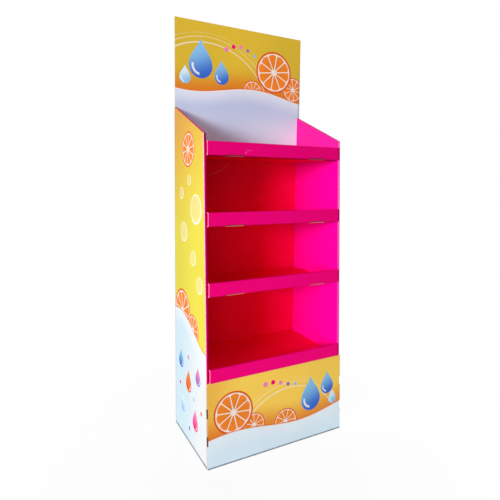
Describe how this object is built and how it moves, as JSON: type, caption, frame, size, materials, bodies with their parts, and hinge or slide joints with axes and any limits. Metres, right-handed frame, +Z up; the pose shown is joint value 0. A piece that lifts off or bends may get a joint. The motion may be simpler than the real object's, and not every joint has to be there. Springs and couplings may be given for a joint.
{
  "type": "cardboard display stand",
  "caption": "Floor-standing corrugated card display with doubled side walls, lipped shelf trays, a printed base front and a tall header card at the back.",
  "frame": {"origin": "on the floor, under the middle of the stand's outer box", "axes": "+Z up, the front faces -Y, +X to the right of someone facing the front"},
  "size_m": [0.6, 0.3558, 1.68],
  "materials": {
    "side_print": "satin printed paper on corrugated board",
    "back_print": "satin printed paper on corrugated board",
    "tray_print": "satin printed paper on corrugated board",
    "base_print": "satin printed paper on corrugated board",
    "header_print": "satin printed paper on corrugated board"
  },
  "bodies": {
    "root": {"left_side_wall": "side_print", "right_side_wall": "side_print", "back_panel": "back_print", "bottom_tray": "tray_print", "middle_tray": "tray_print", "upper_tray": "tray_print", "top_tray": "tray_print", "base_front_panel": "base_print", "header_card": "header_print"}
  },
  "joints": []
}
